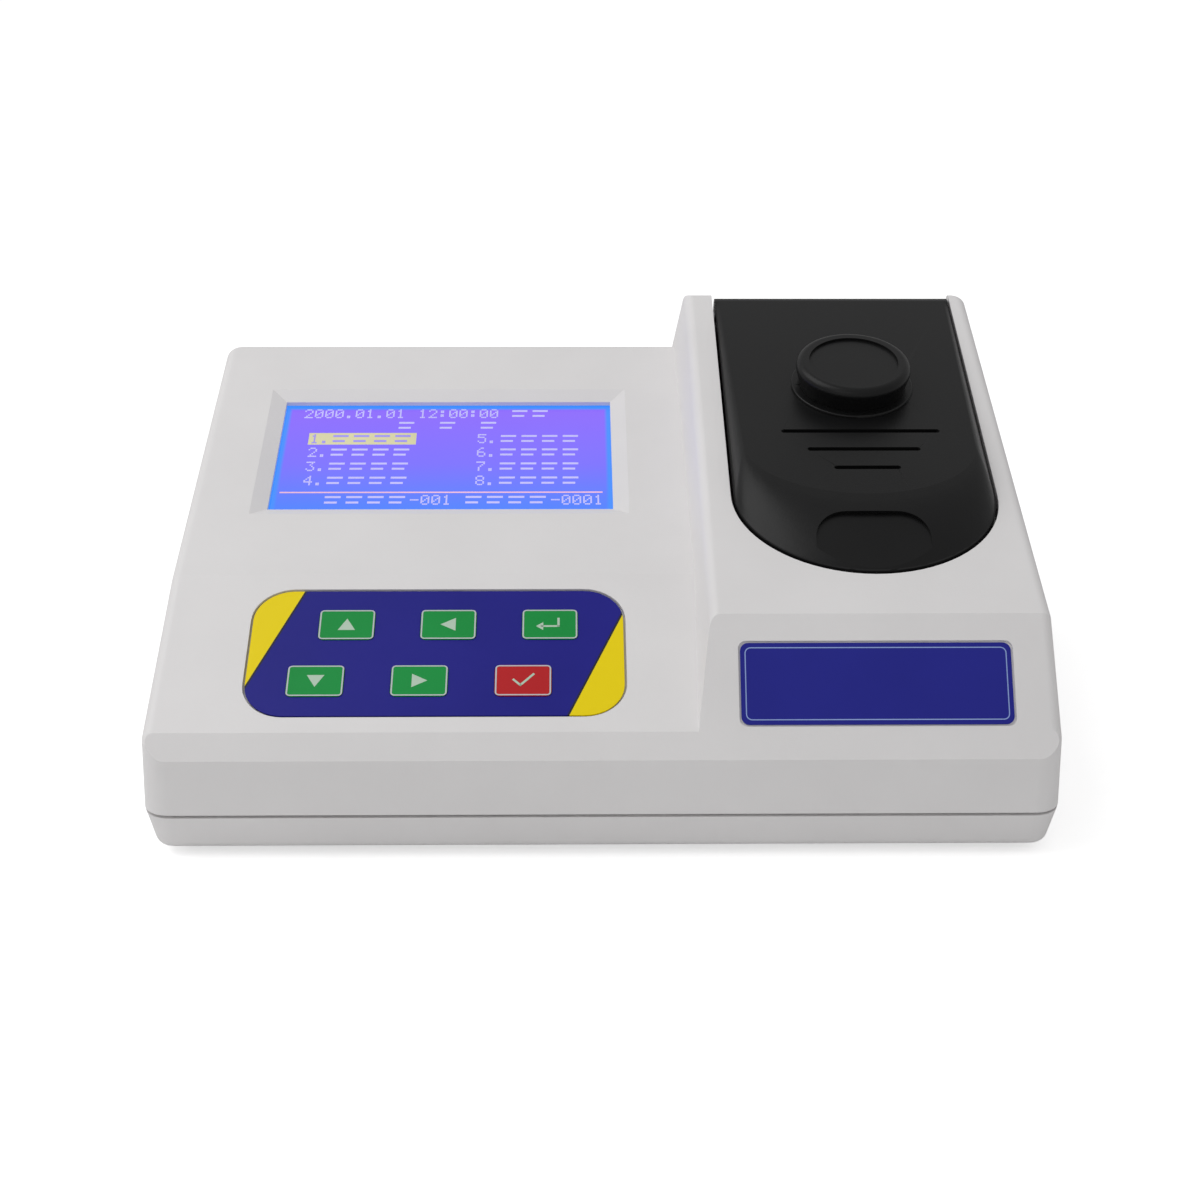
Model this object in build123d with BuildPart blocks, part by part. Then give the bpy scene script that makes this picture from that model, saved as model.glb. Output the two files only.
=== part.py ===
"""Benchtop formaldehyde analyzer: a wedge-shaped plastic desk case with a display, six keys,
a leaning tower with a sample well, and a black hinged light-tight lid with a lift-out plug.

Millimetres. X runs to the right, Y to the rear, Z up. The origin is on the desk, under the
middle of the case. Every sloped panel of the case is a plane, and what sits on a panel is drawn
on that plane.
"""
import os
from math import atan, cos, degrees, radians, sin, tan

from build123d import *

os.makedirs("parts", exist_ok=True)

# Case
body_width = 268.0
body_depth = 196.0
corner_radius = 8.0
side_draft = 1.86
case_wall = 2.5
foot_stand = 2.5
tray_height = 12.2
tray_taper = 14.0
tray_floor = 2.5
tray_edge_radius = 3.5
split_gap = 1.0
lip_height = 3.2
lip_clearance = 0.25
lip_wall = 1.8
top_edge_radius = 3.4

# Sloped panels, each by its angle to the desk and its length up the slope
front_height = 29.9
label_angle = 51.7
chamfer_run = 8.4
label_run = 43.6
key_angle = 24.2
key_run = 63.1
lcd_angle = 15.9
tower_angle = 18.25

# Leaning left wall of the tower
tower_edge_x = 31.7
tower_lean = 12.0
tower_edge_radius = 2.2

# Display module and its window
lcd_x = -51.2
lcd_up = 67.6
window_width = 111.5
window_height = 62.4
bevel_width = 5.1
bevel_depth = 2.0
window_radius = 0.8
lcd_seat_depth = 3.4
lcd_seat_margin = 9.5
module_width = 144.0
module_height = 92.0
module_corner = 1.5
module_screw_inset = 4.0
bezel_width = 129.0
bezel_height = 82.0
bezel_drop = 7.4
bezel_sheet = 0.5
glass_thickness = 2.8
glass_margin = 3.0
polarizer_thickness = 0.3
board_thickness = 1.6
post_radius = 3.4

# Keypad
overlay_x = -49.3
overlay_up = 31.2
overlay_width = 111.7
overlay_height = 49.5
overlay_radius = 12.0
overlay_thickness = 0.5
spacer_thickness = 0.9
spacer_inset = 1.5
pocket_clearance = 0.7
keypad_sink = 0.2
keypad_floor = 1.6
key_first_x = -84.6
key_pitch = 30.6
key_row_up = 19.7
key_row_pitch = 22.3
key_row_shift = 7.8
key_width = 16.7
key_height = 11.9
key_radius = 1.8
key_clearance = 0.15
key_proud = 0.3
key_flange = 0.8
key_flange_thickness = 0.25
key_flange_gap = 0.02
key_travel = 0.3
dome_radius = 4.2
dome_clearance = 0.05
tail_width = 12.0
tail_thickness = 0.3
tail_slot_width = 2.4

# Name plate, left bare
plate_x = 79.7
plate_up = 22.6
plate_width = 79.3
plate_height = 24.4
plate_radius = 2.4
plate_thickness = 0.6
plate_sink = 0.2
plate_clearance = 0.6

# Lid, on a plane of its own that meets the tower's top at the rear
lid_x = 82.8
lid_angle = 15.2
lid_rise = 7.0
lid_crest_run = 48.0
pocket_half = 41.9
pocket_nose = 38.0
nose_centre = 8.3
lid_gap = 0.9
lid_step = 0.3
rim_rise = 0.4
crest_half = 37.0
crest_nose = 27.0
crest_tail_half = 39.6
crown_sections = 4
crown_fullness = 1.6
lid_wall = 2.6
skirt_wall = 2.4
skirt_depth = 12.0
deck_depth = 14.0
deck_thickness = 2.2
tub_wall = 2.2
nose_solid = 23.0
groove_width = 2.0
groove_depth = 1.2
groove_first = 34.8
groove_pitch = 10.3
groove_longest = 51.0
groove_step = 15.0
scoop_width = 35.0
scoop_top = -8.5
scoop_depth = 2.0

# Hinge of the lid
barrel_radius = 6.5
barrel_margin = 0.3
pin_radius = 2.0
pin_running = 0.05
pin_in_cheek = 4.4
pin_in_barrel = 6.0
pin_end_clearance = 0.4
cheek_radius = 7.0

# Plug in the lid, over the well
well_x = 84.0
plug_up = 62.0
collar_radius = 20.1
collar_height = 1.0
port_radius = 15.2
plug_clearance = 0.15
plug_head_radius = 19.5
plug_foot_radius = 17.4
plug_height = 8.5
plug_edge_radius = 2.4
plug_recess_radius = 14.6
plug_recess_depth = 0.8
plug_neck_depth = 5.2
plug_neck_wall = 3.0
plug_seat_gap = 0.05
ring_section = 0.8
ring_depth = 1.6

# Liner under the lid
liner_thickness = 1.5
liner_inset = 1.0
liner_tail = 12.0
liner_hole_clearance = 1.5
liner_screw_half = 27.0
liner_screw_front = 34.0
liner_screw_rear = 100.0
liner_boss_radius = 3.0
liner_screw_radius = 1.1
liner_screw_bite = 2.0

# Sample well, square to the lid
vial_radius = 12.9
well_depth = 50.0
well_wall = 3.6
well_floor = 2.5
well_flange_radius = 23.0
well_flange = 2.0
well_clearance = 0.3
optic_depth = 44.0
optic_pad_half = 17.5
optic_pad_width = 20.0
port_bore = 4.0
seal_inner_radius = 15.4
seal_outer_radius = 20.5
seal_gap = 0.3

# Lamp and detector at the well
lamp_block_length = 20.0
detector_block_length = 12.0
optic_block = 17.0
optic_running = 0.05
lens_thickness = 3.0
lens_crown = 1.0
filter_thickness = 2.0
led_radius = 2.5
led_length = 8.6
led_flange_radius = 2.9
led_flange_thickness = 1.0
diode_radius = 4.1
diode_length = 4.2
optic_screw_offset = 6.4
optic_screw_radius = 1.0
optic_screw_head = 1.9
detector_board_size = 22.0

# Screws, feet and posts of the case
case_screw_x = 119.0
case_screw_y = 85.5
case_post_radius = 4.2
case_screw_radius = 1.6
case_screw_head_radius = 3.2
case_screw_head = 2.2
case_screw_length = 16.0
case_screw_clearance = 0.2
foot_x = 104.0
foot_y = 72.0
foot_radius = 8.0
foot_depth = 1.0
foot_stem_radius = 2.5

# Main board and what it carries
main_board_width = 126.0
main_board_depth = 100.0
main_board_x = -3.0
main_board_y = 40.0
standoff_radius = 3.5
standoff_inset = 5.0
board_screw_radius = 1.4
board_screw_head_radius = 2.8
board_screw_head = 1.9
buzzer_radius = 6.0
buzzer_height = 7.5
cell_radius = 10.0
cell_thickness = 3.2
holder_wall = 1.2

processor_x = 12.0
processor_y = -8.0
processor_size = 20.0
memory_count = 2
chip_pitch = 14.0
chip_width = 8.0
chip_depth = 10.0
chip_height = 1.6
regulator_count = 3
regulator_x = -30.0
regulator_y = 30.0
capacitor_count = 3
capacitor_x = -28.0
capacitor_y = 8.0
capacitor_pitch = 12.0
capacitor_radius = 4.0
capacitor_height = 9.0
buzzer_x = 48.0
buzzer_y = -32.0
cell_x = -2.0
cell_y = -32.0
socket_depth = 5.0
socket_wall = 2.0
socket_height = 4.0
ribbon_x = -38.0
ribbon_width = 30.0
ribbon_thickness = 0.8
ribbon_up = -20.0
ribbon_bend = 4.0
cable_clearance = 0.1

# Rear sockets and switch, in a shallow recess of the rear wall
port_row_z = 29.0
port_sink = 3.6
port_recess_x = -77.0
port_recess_width = 80.0
port_recess_height = 17.0
port_recess_radius = 2.0
switch_x = -104.0
jack_x = -76.0
usb_x = -50.0
switch_width = 21.0
switch_height = 15.0
switch_flange = 1.6
switch_body_width = 18.8
switch_body_height = 12.8
switch_body_depth = 14.0
switch_clearance = 0.2
rocker_width = 16.4
rocker_height = 10.4
rocker_clearance = 0.35
rocker_throw = 20.0
rocker_pivot_depth = 3.4
rocker_pivot_radius = 1.2
rocker_pivot_reach = 0.8
rocker_back = 4.5
rocker_crown = 4.0
rocker_dip = 2.6
terminal_pitch = 6.0
terminal_thickness = 0.8
terminal_width = 4.8
terminal_length = 6.0
jack_radius = 5.6
jack_flange_radius = 7.2
jack_flange = 1.4
jack_length = 14.0
jack_bore_radius = 3.2
jack_pin_radius = 1.0
jack_nut_width = 14.0
jack_nut = 2.4
usb_width = 12.0
usb_height = 11.0
usb_length = 16.0
usb_wall = 1.0
usb_clearance = 0.3
usb_front = 0.5

# Heights and places that follow from the sizes above
front_y = -body_depth / 2
rear_y = body_depth / 2
tray_z = foot_stand
split_z = tray_z + tray_height
cover_z = split_z + split_gap / 2
rim_z = split_z - split_gap / 2
floor_z = tray_z + tray_floor
front_lean = (front_height - tray_height) * tan(radians(side_draft))
above = 2 * body_depth


def slope(y, z, angle):
    """A panel's plane through a line across the case, facing up and to the front."""
    tilt = radians(angle)
    return Plane(origin=(0, y, z), x_dir=(1, 0, 0), z_dir=(0, -sin(tilt), cos(tilt)))


def place(plane, x, up, height=0.0):
    """The plane moved to a place on itself."""
    spot = plane.from_local_coords((x, up, height))
    return Plane(origin=spot, x_dir=plane.x_dir, z_dir=plane.z_dir)


label_plane = slope(front_y + front_lean, tray_z + front_height, label_angle)
key_foot = label_plane.from_local_coords((0, chamfer_run, 0))
key_plane = slope(key_foot.Y, key_foot.Z, key_angle)
lcd_foot = key_plane.from_local_coords((0, key_run, 0))
lcd_plane = slope(lcd_foot.Y, lcd_foot.Z, lcd_angle)
tower_foot = label_plane.from_local_coords((0, label_run, 0))
tower_plane = slope(tower_foot.Y, tower_foot.Z, tower_angle)
lid_crest = tower_plane.from_local_coords((0, lid_crest_run, lid_rise))
lid_plane = slope(lid_crest.Y, lid_crest.Z, lid_angle)
rim_plane = place(tower_plane, 0, lid_crest_run, rim_rise)
well_plane = place(lid_plane, well_x, plug_up)

# The barrel lies under the lid's top and just inside the rear wall
lid_sin = sin(radians(lid_angle))
lid_cos = cos(radians(lid_angle))
draft_tan = tan(radians(side_draft))
barrel_reach = barrel_radius / cos(radians(side_draft)) + barrel_margin
rear_at_barrel = rear_y - (lid_crest.Z - barrel_radius * lid_cos - split_z) * draft_tan
hinge_up = (rear_at_barrel - lid_crest.Y - barrel_radius * lid_sin - barrel_reach) / (
    lid_cos + lid_sin * draft_tan
)
hinge_axis = lid_plane.from_local_coords((lid_x, hinge_up, -barrel_radius))
hinge_plane = Plane(origin=hinge_axis, x_dir=(0, 1, 0), z_dir=(1, 0, 0))


def save(part, name):
    part.label = name
    export_step(part, f"parts/{name}.step")


# Folded lines of panels, from in front of the case to behind it
panel_lead = label_plane.from_local_coords((0, -body_depth / 8, 0))
lcd_tail = lcd_plane.from_local_coords((0, body_depth, 0))
tower_tail = tower_plane.from_local_coords((0, 1.5 * body_depth, 0))
low_panels = [panel_lead, key_foot, lcd_foot, lcd_tail]
tower_panels = [panel_lead, tower_foot, tower_tail]

# The tower's left wall leans over to the right
lean = radians(tower_lean)
wall_facing = (cos(lean), sin(lean) * sin(radians(tower_angle)), -sin(lean) * cos(radians(tower_angle)))


def case_block(inset, panels):
    """The drafted block of the upper case below a folded line of panels, drawn in by a wall."""
    with BuildPart() as block:
        with BuildSketch(Plane.XY.offset(cover_z)):
            RectangleRounded(body_width - 2 * inset, body_depth - 2 * inset, corner_radius - inset)
        extrude(amount=body_depth, taper=side_draft)
        with BuildSketch(Plane.YZ.offset(-body_width)):
            with BuildLine():
                corners = [(corner.Y, corner.Z) for corner in panels]
                Polyline(*corners, (panels[-1].Y, above), (panels[0].Y, above), close=True)
            make_face()
            if inset:
                offset(amount=inset, kind=Kind.INTERSECTION)
        extrude(amount=2 * body_width, mode=Mode.SUBTRACT)
    return block.part


def tower_block(inset):
    """The part of the tower's block that lies to the right of its leaning wall."""
    edge = tower_plane.from_local_coords((tower_edge_x + inset / cos(lean), 0, 0))
    with BuildPart() as block:
        add(case_block(inset, tower_panels))
        split(bisect_by=Plane(origin=edge, z_dir=wall_facing), keep=Keep.TOP)
    return block.part


def outer_rims(part):
    """The upper edges of a block along its sides and its rear, without the short front arcs."""
    return [
        edge
        for edge in part.edges()
        if edge.center().Z > tray_z + front_height + split_gap
        and edge.length > 2 * corner_radius - split_gap
        and abs(edge.tangent_at(0.5).Z) < cos(radians(label_angle / 2))
        and (abs(edge.center().X) > body_width / 2 - corner_radius or edge.center().Y > rear_y - corner_radius)
    ]


def lid_outline(half, nose, rear_up, centre_up=nose_centre, rear_half=None):
    """A plan with an elliptical nose and two sides, drawn around the lid's centre line."""
    tail = half if rear_half is None else rear_half
    with BuildSketch() as plan:
        with BuildLine():
            EllipticalCenterArc((lid_x, centre_up), half, nose, start_angle=180, arc_size=180)
            Polyline(
                (lid_x + half, centre_up),
                (lid_x + tail, rear_up),
                (lid_x - tail, rear_up),
                (lid_x - half, centre_up),
            )
        make_face()
    return plan.sketch


def rod(plane, radius, low, high):
    """A round bar along a plane's normal, between two heights."""
    with BuildPart() as bar:
        with BuildSketch(plane.offset(low)):
            Circle(radius)
        extrude(amount=high - low)
    return bar.part


def slab(plane, width, height, low, high, radius=0.0):
    """A plate along a plane's normal, between two heights."""
    with BuildPart() as plate:
        with BuildSketch(plane.offset(low)):
            if radius:
                RectangleRounded(width, height, radius)
            else:
                Rectangle(width, height)
        extrude(amount=high - low)
    return plate.part


def screw(plane, shank_radius, length, head_radius, head_height):
    """A pan head screw with its head standing on the plane and its shank below it."""
    with BuildPart() as body:
        with BuildSketch(plane):
            Circle(head_radius)
        extrude(amount=head_height)
        fillet(body.faces().sort_by(plane_axis(plane))[-1].edges(), radius=head_height / 3)
        with BuildSketch(plane):
            Circle(shank_radius)
        extrude(amount=-length)
    return body.part


def plane_axis(plane):
    return Axis(plane.origin, plane.z_dir)


def section_at(plane):
    """The upright section plane through a place, with its height along the place's normal."""
    return Plane(origin=plane.origin, x_dir=plane.x_dir, z_dir=-plane.y_dir)


# Heights under the lid plane, and places on it
deck_top = -deck_depth
lid_underside = -lid_wall
liner_bottom = lid_underside - liner_thickness
well_top = deck_top + well_flange
well_bottom = well_top - well_depth
optic_height = well_top - optic_depth
far_rear = hinge_up + 4 * barrel_radius
cheek_plane = Plane(origin=hinge_axis, x_dir=(0, 1, 0), z_dir=(1, 0, 0))

# Places on the display and key panels
lcd_spot = place(lcd_plane, lcd_x, lcd_up)
module_screw_spots = [
    (sx * (module_width / 2 - module_screw_inset), sy * (module_height / 2 - module_screw_inset))
    for sx in (-1, 1)
    for sy in (-1, 1)
]
keypad_depth = spacer_thickness + overlay_thickness + keypad_sink
keypad_spot = place(key_plane, overlay_x, overlay_up, -keypad_depth)
key_names = ["key_down", "key_right", "key_confirm", "key_up", "key_left", "key_back"]
key_spots = [
    (key_first_x + column * key_pitch + row * key_row_shift, key_row_up + row * key_row_pitch)
    for row in (0, 1)
    for column in (0, 1, 2)
]
key_places = [(x - overlay_x, up - overlay_up) for x, up in key_spots]
plate_spot = place(label_plane, plate_x, plate_up)

# Places at the rear and in the tray
port_y = rear_y - port_sink
board_top = port_row_z - usb_height / 2
board_z = board_top - board_thickness
case_screw_spots = [(sx * case_screw_x, sy * case_screw_y) for sx in (-1, 1) for sy in (-1, 1)]
foot_spots = [(sx * foot_x, sy * foot_y) for sx in (-1, 1) for sy in (-1, 1)]
standoff_spots = [
    (
        main_board_x + sx * (main_board_width / 2 - standoff_inset),
        main_board_y + sy * (main_board_depth / 2 - standoff_inset),
    )
    for sx in (-1, 1)
    for sy in (-1, 1)
]
post_foot_z = cover_z + lip_height / 2


def port_plane(x):
    """A place on the recess floor of the rear wall, facing the rear."""
    return Plane(origin=(x, port_y, port_row_z), x_dir=(-1, 0, 0), z_dir=(0, 1, 0))


# Upper case, one moulding: the low panels and the tower, each with its edges rounded
with BuildPart() as low_form:
    add(case_block(0, low_panels))
    fillet(outer_rims(low_form), radius=top_edge_radius)

with BuildPart() as tower_form:
    add(tower_block(0))
    crest = tower_form.edges().filter_by(lambda e: abs(e.center().X - tower_edge_x) < 1 and e.length > body_depth / 2)
    fillet(outer_rims(tower_form) + crest, radius=top_edge_radius)

with BuildPart() as outer:
    add(low_form.part)
    add(tower_form.part)

with BuildPart() as void:
    add(case_block(case_wall, low_panels))
    add(tower_block(case_wall))

# Walls of the lid's pocket, its deck and the hinge cheeks, kept inside the outer form
with BuildPart() as tub:
    with BuildSketch(lid_plane.offset(deck_top - deck_thickness)):
        add(lid_outline(pocket_half + tub_wall, pocket_nose + tub_wall, far_rear))
    extrude(amount=deck_depth + deck_thickness + lid_rise)
    with BuildSketch(cheek_plane):
        Circle(cheek_radius)
    extrude(amount=body_width / 2, both=True)
    split(bisect_by=Plane(origin=(tower_edge_x, 0, 0), z_dir=(1, 0, 0)), keep=Keep.TOP)
    add(outer.part, mode=Mode.INTERSECT)

# Posts that the case screws and the display module's screws bite into, and the rear recess's box
with BuildPart() as posts:
    for x, y in case_screw_spots:
        add(rod(Plane(origin=(x, y, 0)), case_post_radius, post_foot_z, body_depth))
    for x, up in module_screw_spots:
        add(rod(place(lcd_spot, x, up), post_radius, -lcd_seat_depth - bezel_drop, 0))
    recess_box = (port_recess_width + 2 * case_wall, port_recess_height + 2 * case_wall)
    add(slab(port_plane(port_recess_x), *recess_box, -case_wall, port_sink))
    add(outer.part, mode=Mode.INTERSECT)

with BuildPart() as top_cover:
    add(outer.part)
    add(void.part, mode=Mode.SUBTRACT)
    add(tub.part)
    add(posts.part)

    # Seats behind the display window and the keypad
    seat_width = window_width + 2 * lcd_seat_margin
    seat_height = window_height + 2 * lcd_seat_margin
    add(slab(lcd_spot, seat_width, seat_height, -lcd_seat_depth, -bevel_depth))
    pocket_width = overlay_width + 2 * pocket_clearance
    pocket_height = overlay_height + 2 * pocket_clearance
    pocket_radius = overlay_radius + pocket_clearance
    add(slab(keypad_spot, pocket_width, pocket_height, -keypad_floor, 0, pocket_radius))

    # Display window with its sloping bevel
    bevel_slope = degrees(atan(bevel_width / bevel_depth))
    with BuildSketch(lcd_spot):
        Rectangle(window_width + 2 * bevel_width, window_height + 2 * bevel_width)
    extrude(amount=-bevel_depth, taper=bevel_slope, mode=Mode.SUBTRACT)
    add(slab(lcd_spot, window_width, window_height, -lcd_seat_depth, 0), mode=Mode.SUBTRACT)

    # Keypad pocket and the slot for its tail
    add(slab(keypad_spot, pocket_width, pocket_height, 0, keypad_depth, pocket_radius), mode=Mode.SUBTRACT)
    tail_up = overlay_height / 2 - spacer_inset - tail_slot_width
    tail_spot = place(keypad_spot, 0, tail_up)
    add(slab(tail_spot, tail_width + tail_slot_width, tail_slot_width, -2 * keypad_floor, 0), mode=Mode.SUBTRACT)

    # Shallow pocket for the name plate
    plate_hole = (plate_width + 2 * plate_clearance, plate_height + 2 * plate_clearance)
    plate_floor = -plate_thickness - plate_sink
    add(slab(plate_spot, *plate_hole, plate_floor, plate_thickness, plate_radius), mode=Mode.SUBTRACT)

    # Pocket for the lid, open to the rear, with the hole for the well and the pin holes
    with BuildSketch(lid_plane.offset(deck_top)):
        add(lid_outline(pocket_half, pocket_nose, far_rear))
    extrude(amount=deck_depth + lid_rise, mode=Mode.SUBTRACT)
    deck_hole = vial_radius + well_wall + well_clearance
    add(rod(well_plane, deck_hole, deck_top - deck_thickness, deck_top), mode=Mode.SUBTRACT)
    pin_reach = pocket_half + pin_in_cheek + pin_end_clearance
    add(rod(cheek_plane, pin_radius, -pin_reach, pin_reach), mode=Mode.SUBTRACT)

    # Rear recess and its cut-outs
    recess = (port_recess_width, port_recess_height)
    add(slab(port_plane(port_recess_x), *recess, 0, 2 * port_sink, port_recess_radius), mode=Mode.SUBTRACT)
    switch_hole = (switch_body_width + 2 * switch_clearance, switch_body_height + 2 * switch_clearance)
    add(slab(port_plane(switch_x), *switch_hole, -2 * case_wall, 0), mode=Mode.SUBTRACT)
    add(rod(port_plane(jack_x), jack_radius + switch_clearance, -2 * case_wall, 0), mode=Mode.SUBTRACT)
    usb_hole = (usb_width + 2 * usb_clearance, usb_height + 2 * usb_clearance)
    add(slab(port_plane(usb_x), *usb_hole, -2 * case_wall, 0), mode=Mode.SUBTRACT)

    # Screw holes in the posts
    for x, y in case_screw_spots:
        spot = Plane(origin=(x, y, post_foot_z))
        add(rod(spot, case_screw_radius, 0, case_screw_length), mode=Mode.SUBTRACT)
    for x, up in module_screw_spots:
        spot = place(lcd_spot, x, up, -lcd_seat_depth - bezel_drop)
        add(rod(spot, board_screw_radius, 0, bezel_drop), mode=Mode.SUBTRACT)
save(top_cover.part, "top_cover")

# Lower case: a tray with a lip that goes up inside the upper case
with BuildPart() as base_tray:
    with BuildSketch(Plane.XY.offset(rim_z)):
        RectangleRounded(body_width - lip_clearance, body_depth - lip_clearance, corner_radius)
    extrude(amount=tray_z - rim_z, taper=tray_taper)
    fillet(base_tray.faces().sort_by(Axis.Z)[0].edges(), radius=tray_edge_radius)
    with BuildSketch(Plane.XY.offset(rim_z)):
        RectangleRounded(
            body_width - 2 * (case_wall + lip_clearance),
            body_depth - 2 * (case_wall + lip_clearance),
            corner_radius - case_wall,
        )
    extrude(amount=lip_height)
    with BuildSketch(Plane.XY.offset(rim_z + lip_height)):
        inner_inset = case_wall + lip_clearance + lip_wall
        RectangleRounded(
            body_width - 2 * inner_inset, body_depth - 2 * inner_inset, corner_radius - inner_inset / 2
        )
    extrude(amount=-(rim_z + lip_height - floor_z), mode=Mode.SUBTRACT)

    # Bosses for the case screws, standoffs of the main board, and the sockets of the feet
    for x, y in case_screw_spots:
        spot = Plane(origin=(x, y, 0))
        add(rod(spot, case_post_radius, floor_z, post_foot_z))
        add(rod(spot, case_screw_radius + case_screw_clearance, tray_z, post_foot_z), mode=Mode.SUBTRACT)
        head_hole = case_screw_head_radius + case_screw_clearance
        add(rod(spot, head_hole, tray_z, tray_z + case_screw_head), mode=Mode.SUBTRACT)
    for x, y in standoff_spots:
        spot = Plane(origin=(x, y, 0))
        add(rod(spot, standoff_radius, floor_z, board_z))
        add(rod(spot, board_screw_radius, board_z - case_screw_length / 2, board_z), mode=Mode.SUBTRACT)
    for x, y in foot_spots:
        add(rod(Plane(origin=(x, y, 0)), foot_radius, tray_z, tray_z + foot_depth), mode=Mode.SUBTRACT)
        add(rod(Plane(origin=(x, y, 0)), foot_stem_radius, tray_z, floor_z), mode=Mode.SUBTRACT)
save(base_tray.part, "base_tray")

# Four rubber feet, each with a stem through the tray's floor
with BuildPart() as rubber_feet:
    for x, y in foot_spots:
        with BuildSketch(Plane(origin=(x, y, tray_z + foot_depth))):
            Circle(foot_radius)
        extrude(amount=-(tray_z + foot_depth))
        with BuildSketch(Plane(origin=(x, y, tray_z))):
            Circle(foot_stem_radius)
        extrude(amount=tray_floor)
    fillet(rubber_feet.faces().group_by(Axis.Z)[0].edges(), radius=foot_stand / 3)
save(rubber_feet.part, "rubber_feet")

# Four screws from below that hold the two halves together
with BuildPart() as case_screws:
    for x, y in case_screw_spots:
        seat = Plane(origin=(x, y, tray_z + case_screw_head), z_dir=(0, 0, -1))
        add(screw(seat, case_screw_radius, case_screw_length, case_screw_head_radius, case_screw_head))
save(case_screws.part, "case_screws")


def between(start, end, share):
    return start + (end - start) * share


def crown_plane(rise, drop):
    """A plane between the lid's rim and its flat top, at a share of the rise."""
    low = rim_plane.offset(-drop)
    high = lid_plane.offset(-drop)
    tilt = between(tower_angle, lid_angle, rise)
    return slope(between(low.origin.Y, high.origin.Y, rise), between(low.origin.Z, high.origin.Z, rise), tilt)


def lid_form(inset, drop, nose_cut, tail):
    """The lid's skirt and its crowned top; the inner form is drawn in by its walls."""
    half = pocket_half - lid_gap - inset
    nose = pocket_nose - lid_gap - inset - nose_cut
    with BuildPart() as body:
        with BuildSketch(lid_plane.offset(-skirt_depth)):
            add(lid_outline(half, nose, tail))
        extrude(amount=skirt_depth + lid_rise)
        split(bisect_by=rim_plane.offset(-drop), keep=Keep.BOTTOM)
        for section in range(crown_sections):
            run = section / (crown_sections - 1)
            rise = 1 - (1 - run) ** crown_fullness
            with BuildSketch(crown_plane(rise, drop)):
                add(
                    lid_outline(
                        between(half - lid_step, crest_half - inset / 2, run),
                        between(nose - lid_step, crest_nose - inset / 2, run),
                        tail,
                        between(nose_centre, crest_nose + nose_cut / 2, run),
                        between(half - lid_step, crest_tail_half - inset / 2, run),
                    )
                )
        loft()
    return body.part


# Lid: a crowned shell with a hinge barrel, three grooves, a finger scoop and a raised port
barrel_half = pocket_half - lid_gap
liner_screw_spots = [
    (lid_x + side * liner_screw_half, up) for side in (-1, 1) for up in (liner_screw_front, liner_screw_rear)
]
with BuildPart() as lid_shell:
    add(lid_form(0.0, 0.0, 0.0, hinge_up))
    add(rod(cheek_plane, barrel_radius, -barrel_half, barrel_half))
    inner_tail = hinge_up - barrel_radius - skirt_wall
    add(lid_form(skirt_wall, lid_wall, nose_solid, inner_tail), mode=Mode.SUBTRACT)
    add(rod(cheek_plane, barrel_radius, -barrel_half, barrel_half))

    # Raised port for the plug
    add(rod(well_plane, collar_radius, -lid_wall, collar_height))
    fillet(lid_shell.edges().filter_by(GeomType.CIRCLE).sort_by(plane_axis(well_plane))[-1:], radius=collar_height / 2)
    add(rod(well_plane, port_radius, liner_bottom, collar_height), mode=Mode.SUBTRACT)

    # Grooves across the top, each shorter than the one behind it
    for count in range(3):
        with BuildSketch(place(lid_plane, well_x, groove_first - count * groove_pitch)):
            SlotOverall(groove_longest - count * groove_step, groove_width)
        extrude(amount=-groove_depth, mode=Mode.SUBTRACT)

    # Screw bosses for the liner
    for x, up in liner_screw_spots:
        add(rod(place(lid_plane, x, up), liner_boss_radius, lid_underside, -lid_wall / 2))
        spot = place(lid_plane, x, up)
        add(rod(spot, liner_screw_radius, lid_underside, lid_underside + liner_screw_bite / 2), mode=Mode.SUBTRACT)

    # Holes for the hinge pins
    for side in (-1, 1):
        low, high = sorted((side * barrel_half, side * (barrel_half - pin_in_barrel - pin_end_clearance)))
        add(rod(cheek_plane, pin_radius + pin_running, low, high), mode=Mode.SUBTRACT)
save(lid_shell.part, "lid_shell")

# Two steel hinge pins, one in each cheek of the pocket
with BuildPart() as hinge_pins:
    for side in (-1, 1):
        low, high = sorted((side * (pocket_half + pin_in_cheek), side * (barrel_half - pin_in_barrel)))
        add(rod(cheek_plane, pin_radius, low, high))
save(hinge_pins.part, "hinge_pins")

# Foam-faced liner screwed up against the underside of the lid
with BuildPart() as lid_liner:
    half = crest_half - skirt_wall / 2 - liner_inset
    nose = crest_nose - skirt_wall / 2 - liner_inset
    with BuildSketch(lid_plane.offset(liner_bottom)):
        add(lid_outline(half, nose, inner_tail - liner_tail, crest_nose + nose_solid / 2))
    extrude(amount=liner_thickness)
    add(rod(well_plane, port_radius + liner_hole_clearance, liner_bottom, 0), mode=Mode.SUBTRACT)
    for x, up in liner_screw_spots:
        hole = liner_screw_radius + case_screw_clearance
        add(rod(place(lid_plane, x, up), hole, liner_bottom, 0), mode=Mode.SUBTRACT)
save(lid_liner.part, "lid_liner")

with BuildPart() as liner_screws:
    for x, up in liner_screw_spots:
        spot = place(lid_plane, x, up, liner_bottom)
        seat = Plane(origin=spot.origin, x_dir=spot.x_dir, z_dir=-spot.z_dir)
        bite = liner_thickness + liner_screw_bite / 2
        add(screw(seat, liner_screw_radius, bite, 2 * liner_screw_radius, liner_screw_radius))
save(liner_screws.part, "liner_screws")

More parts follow.
